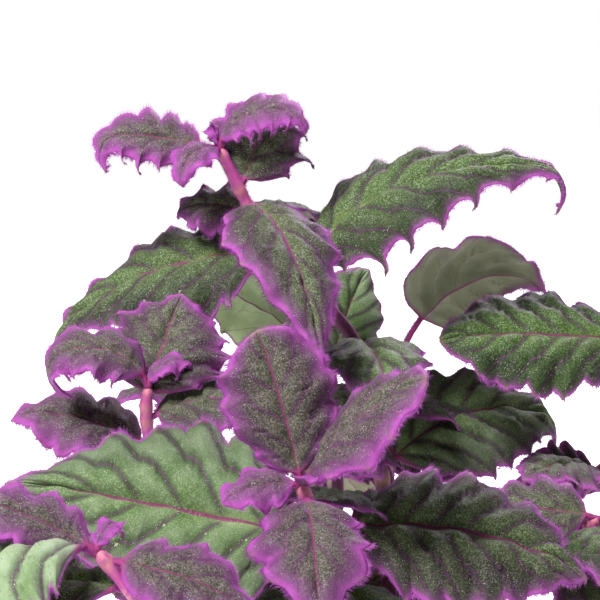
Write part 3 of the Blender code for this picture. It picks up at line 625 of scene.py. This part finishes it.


# %% [markdown]
# The blade's finish is built up in coats. The upper face is dark green, darkened by painted shade in a wide
# band along each side vein, with tiny bright specks of painted highlight where hairs and cells catch the
# light.
# Side veins, midrib and edge are violet, and a young leaf is more violet than green. The underside is a dull
# green that turns violet towards the edge.

# %% Leaf finish
def leaf_finish():
    f = Finish("velvet_leaf", Sheen_Weight=0.34, Sheen_Roughness=0.3, Sheen_Tint=(0.62, 0.08, 0.75, 1),
               Specular_IOR_Level=0.12, Subsurface_Weight=0.1, Subsurface_Scale=0.0015,
               Subsurface_Radius=(1.0, 0.8, 0.5))
    across, stalk = f.mark("across").size(), f.mark("stalk").step(0.5, 1.0)
    inset, length, young, pale, under, spur = map(f.mark, "inset length young pale under spur".split())
    off_vein = 0.5 - (f.mark("vein").fraction() - 0.5).size()
    patches = f.noise(95, detail=4.0)
    lumps = f.noise(320, detail=2.0)
    grain = f.noise(1900, detail=3.0, roughness=0.7)
    cells = f.cells(1700)
    edge = inset / (0.75 + 1.5 * young)
    # Painted shade: a wide band along each side vein, where the blade sinks between its swells, darkened to
    # near black below
    vein_valley_shade = off_vein.step(0.26, 0.03) * across.step(0.0, 0.15)
    side_vein = off_vein.step(0.035, 0.01) * across.step(0.0, 0.06)
    midrib = across.step(0.03, 0.014)
    beside = across.step(0.75, 0.05)
    at_base = length.step(0.4, 0.1) * across.step(0.11, 0.02)
    rim = (edge + (grain - 0.5) * 2.4).step(1.4, 0.4)
    haze = (edge + (patches - 0.5) * 4 + (grain - 0.5) * 5).step(4.0, 0.4)

    old = f.mix(patches.step(0.3, 0.7), (0.15, 0.25, 0.09), (0.36, 0.44, 0.3))
    grit = grain.step(0.48, 0.6) * (0.22 + beside * (0.25 + 0.35 * length)) * (1 - 0.5 * young)
    # Painted highlight: tiny bright specks on the bumps of the upper face stand in for glints of light on
    # hairs and cells
    painted_glint = cells.step(0.25, 0.08) * lumps.step(0.5, 0.6) * (1 - under)
    green = f.coats((0.006, 0.012, 0.004),
                    (patches.step(0.35, 0.65), (0.02, 0.04, 0.009)),
                    (beside * 0.6, (0.05, 0.105, 0.016)),
                    (at_base * 0.6, (0.13, 0.17, 0.03)),
                    # a pale, light green leaf; a small pale share on a leaf in shade is painted light
                    (pale * 0.85, old),
                    (grit, (0.235, 0.3, 0.15)),
                    # painted shade along the side veins
                    (vein_valley_shade * 0.65, (0.009, 0.015, 0.006)))
    plum = f.mix(grain.step(0.42, 0.6), (0.036, 0.014, 0.032), (0.17, 0.082, 0.145))
    upper = f.coats(green,
                    (young * (0.48 + 0.45 * patches), plum),
                    (haze * (0.3 + 0.45 * grain + 0.25 * young), (0.18, 0.045, 0.175)),
                    (side_vein * 0.7, (0.095, 0.016, 0.085)),
                    (midrib * 0.9, (0.15, 0.02, 0.08)),
                    # painted highlight: the bright specks
                    (painted_glint * 0.9, (0.66, 0.72, 0.58)))
    lower = f.coats((0.165, 0.175, 0.12),
                    (patches, (0.28, 0.31, 0.19)),
                    (pale * 0.9, (0.36, 0.47, 0.25)),
                    ((side_vein * 0.5 + midrib).step(0.0, 1.0) * 0.8, (0.15, 0.026, 0.09)),
                    ((edge / 9 + patches).step(1.15, 0.45) * (0.6 - 0.6 * pale), (0.16, 0.055, 0.15)))
    body = f.coats(upper,
                   (under, lower),
                   (rim * (0.6 + 0.4 * grain), (0.29, 0.052, 0.28)),
                   (stalk, (0.22, 0.03, 0.12)),
                   (spur * 0.6, (0.16, 0.15, 0.05)))
    height = lumps * 1.2 + grain * 0.5 + cells.step(0.3, 0.0) * 0.5
    return f.wear(Base_Color=body, Roughness=0.5 - painted_glint * 0.25, Normal=f.bump(height, 0.4 * MM, 0.9))


velvet_leaf = leaf_finish()
print("leaf finish:", len(velvet_leaf.node_tree.nodes), "nodes")


# %% [markdown]
# Stems are round and fleshy, magenta near their tips and darker towards the soil, with paler, yellowish
# joints where the leaves stand.

# %% Stem finish and stems
STEM_SIDES = 14
JOINT_SWELL = 0.22
JOINT_REACH = 2.2 * MM


def stem_finish():
    f = Finish("magenta_stem", Sheen_Weight=0.6, Sheen_Roughness=0.4, Sheen_Tint=(1.0, 0.35, 0.8, 1),
               Subsurface_Weight=0.1, Subsurface_Scale=0.002)
    joint, height = f.mark("joint"), f.mark("height")
    streak = f.noise(500, detail=3.0)
    skin = f.coats((0.11, 0.025, 0.07),
                   (height.step(0.45, 0.97), (0.40, 0.045, 0.24)),
                   (joint * 0.4, (0.50, 0.27, 0.12)),
                   (streak.step(0.45, 0.7) * 0.4, (0.20, 0.05, 0.13)))
    return f.wear(Base_Color=skin, Roughness=0.5 + streak * 0.2, Normal=f.bump(streak, 0.2 * MM, 0.5))


def stem_axis(shoot):
    """Places, frames and radii along a stem, thinner to its tip and thicker at each joint."""
    path = np.vstack([shoot.foot, shoot.path])
    ahead = np.gradient(path, axis=0)
    ahead[:2] = (0, 0, 1)
    ahead = unit(ahead)
    side = unit(np.cross((0, 1, 0), ahead))
    at = np.concatenate([[0], shoot.along])
    share = at / at[-1]
    joint = np.zeros(len(path))
    for leaf in shoot.leaves:
        joint = np.maximum(joint, np.exp(-(((at[-1] - leaf.down - at) / JOINT_REACH) ** 2)))
    radius = (STEM_ROOT_RADIUS + (STEM_TIP_RADIUS - STEM_ROOT_RADIUS) * share) * (1 + JOINT_SWELL * joint)
    radius[-3:] *= (0.9, 0.7, 0.35)
    return path, side, np.cross(ahead, side), radius, joint, share


def stem_part(shoot):
    """A closed tube: circles of the stem's radius round its axis, with a flat foot and a blunt tip."""
    path, side, other, radius, joint, share = stem_axis(shoot)
    rings = path[:, None] + circles(side, other, STEM_SIDES) * radius[:, None, None]
    marks = {key: np.concatenate([np.repeat(value, STEM_SIDES), value[[0, -1]]])
             for key, value in (("joint", joint), ("height", share))}
    return tube(rings, path[[0, -1]], marks)


magenta_stem = stem_finish()
for shoot in SHOOTS:
    blades = new_piece(shoot.name + "_leaves", join_parts([leaf_part(k) for k in shoot.leaves]), velvet_leaf)
    bark = new_piece(shoot.name + "_bark", stem_part(shoot), magenta_stem)
    for piece in (blades, bark):
        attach(piece, "root")
        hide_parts(shoot.name)
    print(shoot.name, len(blades.data.polygons), "faces on its leaves")


# %% [markdown]
# The hairs are what the plant is named for. Blender's own hair would be lost in an export, so each one is a
# needle of four triangles. They stand thickest along the edges and more thinly on both faces.

# %% Hairs
HAIR_RADIUS = 0.065 * MM
EDGE_HAIRS = 11 / MM
UPPER_HAIRS = 0.25 / MM**2
LOWER_HAIRS = 0.02 / MM**2
TO_EDGE = 0.5            # below 1, the hairs on the faces stand closer together towards the edges
FAR_SHARE = 0.3          # of the hairs, on the stems that stand far back or out of sight
FAR_STEMS = ("back_left_stem", "far_back_stem", "low_left_stem", "back_stem")
STEM_HAIRS = 1.5 / MM**2
EDGE_LENGTHS = (0.8 * MM, 2.4 * MM)
FACE_LENGTHS = (0.5 * MM, 1.6 * MM)
STEM_LENGTHS = (0.6 * MM, 1.4 * MM)
LONG_HAIRS_FROM = 50 * MM    # on a shorter leaf the hairs are shorter as well


def needles(draw, roots, aims, lengths, size=1.0):
    """Closed needles of drawn lengths: three corners just below each root, and one tip along the aim."""
    aims = unit(aims)
    helper = np.where(np.abs(aims[:, 2:]) < 0.9, [[0, 0, 1.0]], [[1.0, 0, 0]])
    p = unit(np.cross(aims, helper))
    base = (roots - aims * HAIR_RADIUS)[:, None] + circles(p, np.cross(aims, p), 3) * HAIR_RADIUS
    tips = roots + aims * draw.uniform(*lengths, (len(roots), 1)) * size
    places = np.concatenate([base, tips[:, None]], 1).reshape(-1, 3)
    corners = np.array([[0, 2, 1], [0, 1, 3], [1, 2, 3], [2, 0, 3]])
    tris = (np.arange(len(roots)) * 4)[:, None, None] + corners[None]
    return as_part(places, tris=tris, marks={"tone": np.repeat(draw.uniform(0, 1, len(roots)), 4)})


def lean(draw, *ways):
    """The sum of some directions, each times a number drawn between its bounds."""
    return sum(way * draw.uniform(low, high, (len(way), 1)) for way, low, high in ways)


def edge_hairs(leaf, draw, density):
    """A fringe: hairs from drawn places on both edges, out and forward, some up and some down."""
    count = int(density * 2 * leaf.long)
    v = draw.uniform(leaf.habit.petiole * 0.5, 1, count)
    side = draw.choice((-1.0, 1.0), count)
    points, normals, along, outward, _ = leaf.surface(v, side)
    aims = lean(draw, (outward, 0.5, 1.2), (along, -0.2, 0.8), (normals, -0.4, 1.1))
    size = np.clip(leaf.long / LONG_HAIRS_FROM, 0.55, 1)
    return needles(draw, points, aims, EDGE_LENGTHS, size)


def face_hairs(leaf, draw, density, way):
    """Hairs over one face, fewer where the blade is narrow; way is 1 for the upper and -1 for the lower."""
    count = int(density * leaf.long * leaf.wide)
    v = draw.uniform(0, 1, count)
    across = draw.choice((-1.0, 1.0), count) * draw.uniform(0, 1, count) ** TO_EDGE
    oval = leaf.half_width(v, 0)[1]
    keep = draw.uniform(0, 1, count) < oval
    points, normals, along, outward, _ = leaf.surface(v[keep], across[keep])
    aims = normals * way + lean(draw, (along, 0.0, 0.9), (outward, -0.4, 0.6))
    roots = points + normals * way * EDGE_HALF_THICKNESS
    size = np.clip(leaf.long / LONG_HAIRS_FROM, 0.5, 1)
    return needles(draw, roots, aims, FACE_LENGTHS, size)


def stem_hairs(shoot, draw):
    """Fur on the stem: hairs straight out from drawn places round it, leaning up a little."""
    path, side, other, radius = (row[1:] for row in stem_axis(shoot)[:4])
    count = int(STEM_HAIRS * 2 * math.pi * radius.mean() * shoot.along[-1])
    k = draw.integers(0, len(path) - 2, count)
    turn = draw.uniform(0, 2 * math.pi, count)[:, None]
    out = side[k] * np.cos(turn) + other[k] * np.sin(turn)
    roots = path[k] + lean(draw, (path[k + 1] - path[k], 0, 1)) + out * radius[k][:, None] * 0.97
    aims = out - lean(draw, (np.cross(side[k], other[k]), -0.3, 0.5))
    return needles(draw, roots, aims, STEM_LENGTHS)


def hair_finish():
    f = Finish("violet_hair", Roughness=0.5, Specular_IOR_Level=0.3, Sheen_Weight=0.3,
               Sheen_Tint=(0.9, 0.5, 1.0, 1))
    return f.wear(Base_Color=f.mix(f.mark("tone"), (0.17, 0.022, 0.20), (0.40, 0.085, 0.38)))


violet_hair = hair_finish()
for number, shoot in enumerate(SHOOTS):
    draw = np.random.default_rng(100 + number)
    parts = [stem_hairs(shoot, draw)]
    share = FAR_SHARE if shoot.name in FAR_STEMS else 1.0
    for leaf in shoot.leaves:
        parts += [edge_hairs(leaf, draw, EDGE_HAIRS * share), face_hairs(leaf, draw, UPPER_HAIRS * share, 1),
                  face_hairs(leaf, draw, LOWER_HAIRS * share, -1)]
    hairs = new_piece(shoot.name + "_hairs", join_parts(parts), violet_hair, smooth=False)
    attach(hairs, "root")
    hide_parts(shoot.name)
    print(shoot.name, len(hairs.data.polygons) // 4, "hairs")


# %% [markdown]
# The pot is a plain moulded one with a tapered wall, a rim band and rounded lips: a turned profile is enough.

# %% Pot
POT_SEGMENTS = 144
pot_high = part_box("pot")[1]
POT_HEIGHT = pot_high.z
POT_RIM_RADIUS = pot_high.x
POT_FOOT_RADIUS = 45 * MM
POT_BODY_TOP_RADIUS = 58 * MM
POT_RIM_DEPTH = 22 * MM
POT_SHOULDER = POT_HEIGHT - POT_RIM_DEPTH
POT_WALL = 3 * MM
POT_FLOOR = 4 * MM
POT_LIP = 1.2 * MM
POT_BAND_TAPER = 1.5 * MM
BORE_HEIGHTS = (POT_FLOOR, POT_SHOULDER, POT_HEIGHT)
CLEARANCE = 0.3 * MM     # between the soil and the pot


def rounded(corners, radius, steps=5):
    """A profile with each inner corner cut back by the radius and bridged by a quadratic curve."""
    p = np.asarray(corners, float)
    out = [p[:1]]
    t = np.linspace(0, 1, steps)[:, None]
    for before, corner, after in zip(p, p[1:], p[2:]):
        reach = min(radius, np.linalg.norm(corner - before) / 2.2, np.linalg.norm(after - corner) / 2.2)
        start = corner + unit(before - corner) * reach
        end = corner + unit(after - corner) * reach
        out.append((1 - t) ** 2 * start + 2 * t * (1 - t) * corner + t**2 * end)
    return np.vstack(out + [p[-1:]])


def turned(profile, segments):
    """A closed part: the profile runs from the axis to the axis, and each inner point goes round once."""
    inner = profile[1:-1]
    turn = np.arange(segments) * 2 * math.pi / segments
    rings = np.stack([inner[:, :1] * np.cos(turn), inner[:, :1] * np.sin(turn),
                      np.repeat(inner[:, 1:], segments, 1)], -1)
    return tube(rings, [(0, 0, profile[0, 1]), (0, 0, profile[-1, 1])])


def pot_bore(z):
    """Inner radius of the pot at a height: it widens slowly up the body and faster inside the rim."""
    radii = (POT_FOOT_RADIUS - POT_WALL, POT_BODY_TOP_RADIUS - POT_WALL, POT_RIM_RADIUS - POT_WALL - POT_LIP)
    return np.interp(z, BORE_HEIGHTS, radii)


def pot_profile():
    """Up the inside and down the outside, with a fine step under the lip and above the foot."""
    band = POT_RIM_RADIUS - POT_BAND_TAPER
    inside = [(0, POT_FLOOR)] + [(pot_bore(z), z) for z in BORE_HEIGHTS]
    lip = [(POT_RIM_RADIUS, POT_HEIGHT), (POT_RIM_RADIUS - 0.2 * MM, POT_HEIGHT - 3 * MM),
           (POT_RIM_RADIUS - 0.9 * MM, POT_HEIGHT - 3.6 * MM)]
    wall = [(band, POT_SHOULDER + 2 * MM), (band, POT_SHOULDER), (POT_BODY_TOP_RADIUS, POT_SHOULDER)]
    foot = [(POT_FOOT_RADIUS + 0.6 * MM, 5 * MM), (POT_FOOT_RADIUS, 4.6 * MM), (POT_FOOT_RADIUS, 0),
            (POT_FOOT_RADIUS - 4 * MM, 0), (POT_FOOT_RADIUS - 5 * MM, 1 * MM), (0, 1 * MM)]
    return rounded(inside + lip + wall + foot, POT_LIP)


def pot_finish():
    f = Finish("terracotta_plastic", Specular_IOR_Level=0.45)
    cloud = f.noise(18, detail=5.0)
    fine = f.noise(1400, detail=2.0)
    scuffs = f.noise(60, detail=8.0, roughness=0.7)
    colour = f.coats((0.40, 0.155, 0.085), (cloud.step(0.3, 0.7), (0.47, 0.19, 0.105)),
                     (scuffs.step(0.60, 0.72) * 0.3, (0.56, 0.30, 0.20)))
    return f.wear(Base_Color=colour, Roughness=0.42 + scuffs * 0.25, Normal=f.bump(fine, 0.08 * MM, 0.5))


pot = new_piece("pot_shell", turned(pot_profile(), POT_SEGMENTS), pot_finish())
pot.data.set_sharp_from_angle(angle=math.radians(50))
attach(pot, "root")
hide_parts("pot")
print("pot:", len(pot.data.polygons), "faces,", round(POT_HEIGHT / MM), "mm high")


# %% [markdown]
# Potting soil is dark and never level: a turned surface with a lumpy top, with crumbs and a few white
# grains on it.

# %% Soil
SOIL_SEGMENTS = 120
SOIL_RINGS = 46
CRUMBS = 900
GRAINS = 70


def soil_lumps(x, y):
    """How far the soil's top is above its level: smooth lumps of three sizes."""
    at = np.stack([x, y, np.zeros_like(x)], -1)
    return (ripple(at, 22 * MM, 1) * 0.8 + ripple(at, 8 * MM, 2) * 0.5 + ripple(at, 3 * MM, 3) * 0.3) * MM


def soil_part():
    """A plug that fills the pot, its top disc lifted by the lumps."""
    rim = pot_bore(SOIL_LEVEL) - CLEARANCE
    radii = np.linspace(0, rim, SOIL_RINGS + 1)[::-1]
    bottom = POT_FLOOR + CLEARANCE
    profile = [(0, bottom)] + [(pot_bore(z) - CLEARANCE, z) for z in (bottom, POT_SHOULDER)]
    profile += [(r, SOIL_LEVEL) for r in radii]
    part = turned(np.array(profile), SOIL_SEGMENTS)
    places = part["places"]
    reach = np.hypot(places[:, 0], places[:, 1])
    top = places[:, 2] > POT_SHOULDER + 1 * MM
    lumps = soil_lumps(places[:, 0], places[:, 1]) * ease((rim - reach) / (3 * MM))
    places[top, 2] = SOIL_LEVEL + lumps[top]
    return part


def lumps_part(count, low, high, seed, flat):
    """Crumbs: icosahedra with drawn corners, sizes and turns, set a third deep in the soil."""
    draw = np.random.default_rng(seed)
    g = (1 + math.sqrt(5)) / 2
    base = np.array([(-1, g, 0), (1, g, 0), (-1, -g, 0), (1, -g, 0), (0, -1, g), (0, 1, g), (0, -1, -g),
                     (0, 1, -g), (g, 0, -1), (g, 0, 1), (-g, 0, -1), (-g, 0, 1)]) / math.hypot(1, g)
    faces = np.array([(0, 11, 5), (0, 5, 1), (0, 1, 7), (0, 7, 10), (0, 10, 11), (1, 5, 9), (5, 11, 4),
                      (11, 10, 2), (10, 7, 6), (7, 1, 8), (3, 9, 4), (3, 4, 2), (3, 2, 6), (3, 6, 8),
                      (3, 8, 9), (4, 9, 5), (2, 4, 11), (6, 2, 10), (8, 6, 7), (9, 8, 1)])
    reach = (pot_bore(SOIL_LEVEL) - 4 * MM) * np.sqrt(draw.uniform(0, 1, count))
    turn = draw.uniform(0, 2 * math.pi, count)
    x, y = reach * np.cos(turn), reach * np.sin(turn)
    size = low + (high - low) * draw.uniform(0, 1, count) ** 3
    shape = base[None] * draw.uniform(0.7, 1.15, (count, 12, 1)) * size[:, None, None]
    shape = shape * np.stack([np.ones(count), draw.uniform(0.5, 1, count), np.full(count, flat)], -1)[:, None]
    level = (shape[..., 0] + 1j * shape[..., 1]) * np.exp(1j * draw.uniform(0, 2 * math.pi, (count, 1)))
    centre = np.stack([x, y, SOIL_LEVEL + soil_lumps(x, y) + size * flat * 0.3], -1)
    places = centre[:, None] + np.stack([level.real, level.imag, shape[..., 2]], -1)
    tris = (np.arange(count) * 12)[:, None, None] + faces[None]
    return as_part(places.reshape(-1, 3), tris=tris, marks={"tone": np.repeat(draw.uniform(0, 1, count), 12)})


def soil_finish():
    f = Finish("potting_soil", Specular_IOR_Level=0.25)
    lumps = f.noise(260, detail=6.0, roughness=0.7)
    height = lumps + f.cells(900) * 0.4
    colour = f.mix(lumps.step(0.3, 0.7), (0.012, 0.008, 0.006), (0.060, 0.038, 0.025))
    return f.wear(Base_Color=colour, Roughness=0.85 + lumps * 0.12, Normal=f.bump(height, 0.8 * MM, 0.8))


def crumb_finish():
    f = Finish("bark_crumb", Specular_IOR_Level=0.25)
    grain = f.noise(700, detail=4.0)
    colour = f.coats((0.022, 0.013, 0.009), (f.mark("tone"), (0.13, 0.075, 0.042)),
                     (grain * 0.5, (0.02, 0.012, 0.008)))
    return f.wear(Base_Color=colour, Roughness=0.8 + grain * 0.15, Normal=f.bump(grain, 0.3 * MM, 0.7))


def grain_finish():
    f = Finish("white_grain", Specular_IOR_Level=0.3)
    pits = f.noise(1800, detail=3.0)
    colour = f.mix(pits, (0.50, 0.47, 0.42), (0.78, 0.76, 0.72))
    return f.wear(Base_Color=colour, Roughness=0.9 - pits * 0.1, Normal=f.bump(pits, 0.2 * MM, 0.7))


soil_pieces = [
    new_piece("soil_bed", soil_part(), soil_finish()),
    new_piece("soil_crumbs", lumps_part(CRUMBS, 0.6 * MM, 3.2 * MM, 5, 0.55), crumb_finish(), smooth=False),
    new_piece("soil_grains", lumps_part(GRAINS, 0.7 * MM, 1.8 * MM, 6, 0.8), grain_finish(), smooth=False)]
for piece in soil_pieces:
    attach(piece, "root")
    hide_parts("soil")
    print(piece.name, len(piece.data.polygons), "faces")


# %% [markdown]
# The picture was taken against bright white, from a little above, through a long lens. The floor and the
# world are white, one large soft lamp stands to the upper left, and one behind makes the fringes glow.

# %% Stage, light and camera
CAMERA_AIM = np.array([-10, -20, 215]) * MM
CAMERA_DISTANCE = 550 * MM
CAMERA_PITCH = math.radians(12)
FRAME_WIDTH = 200 * MM
SENSOR = 36.0
FLOOR_HALF_SIDE = 3.0
ROOM_LIGHT = 0.17        # light of the room on the plant, over the white that the camera sees


def look_at(thing, aim):
    """Turn a lamp or camera at its place so that it faces the aim."""
    way = Vector(aim) - thing.location
    thing.rotation_euler = way.to_track_quat("-Z", "Y").to_euler()


def soft_lamp(name, place, size, power):
    lamp = bpy.data.lights.new(name, "AREA")
    lamp.shape = "DISK"
    lamp.size = size
    lamp.energy = power
    thing = bpy.data.objects.new(name, lamp)
    thing.location = place
    scene.collection.objects.link(thing)
    look_at(thing, CAMERA_AIM)


def floor_finish():
    f = Finish("pale_floor", Roughness=0.8, Specular_IOR_Level=0.1, Emission_Color=(1, 1, 1, 1),
               Emission_Strength=0.8)
    return f.wear(Base_Color=f.mix(f.noise(3.0), (0.90, 0.90, 0.90), (0.93, 0.93, 0.93)))


square = np.array([(-1, -1, 0), (1, -1, 0), (1, 1, 0), (-1, 1, 0)]) * FLOOR_HALF_SIDE
floor = new_piece("floor", as_part(square, [0, 1, 2, 3]), floor_finish())

world = bpy.data.worlds.new("white_room")
world.use_nodes = True
nodes, links = world.node_tree.nodes, world.node_tree.links
sky = nodes["Background"].inputs
sky["Color"].default_value = (1, 1, 1, 1)
strength = nodes.new("ShaderNodeMapRange")
strength.inputs["To Min"].default_value = ROOM_LIGHT
links.new(nodes.new("ShaderNodeLightPath").outputs["Is Camera Ray"], strength.inputs["Value"])
links.new(strength.outputs["Result"], sky["Strength"])
scene.world = world
scene.view_settings.view_transform = "Standard"

soft_lamp("key_lamp", (-0.45, -0.50, 1.10), 0.40, 30)
soft_lamp("rim_lamp", (0.30, 0.85, 0.85), 0.6, 11)

camera = bpy.data.objects.new("camera", bpy.data.cameras.new("camera"))
camera.data.sensor_width = SENSOR
camera.data.lens = SENSOR * CAMERA_DISTANCE / FRAME_WIDTH
back = np.array([0, -math.cos(CAMERA_PITCH), math.sin(CAMERA_PITCH)])
camera.location = CAMERA_AIM + back * CAMERA_DISTANCE
look_at(camera, CAMERA_AIM)
scene.collection.objects.link(camera)
scene.camera = camera
print("camera lens", round(camera.data.lens), "mm")
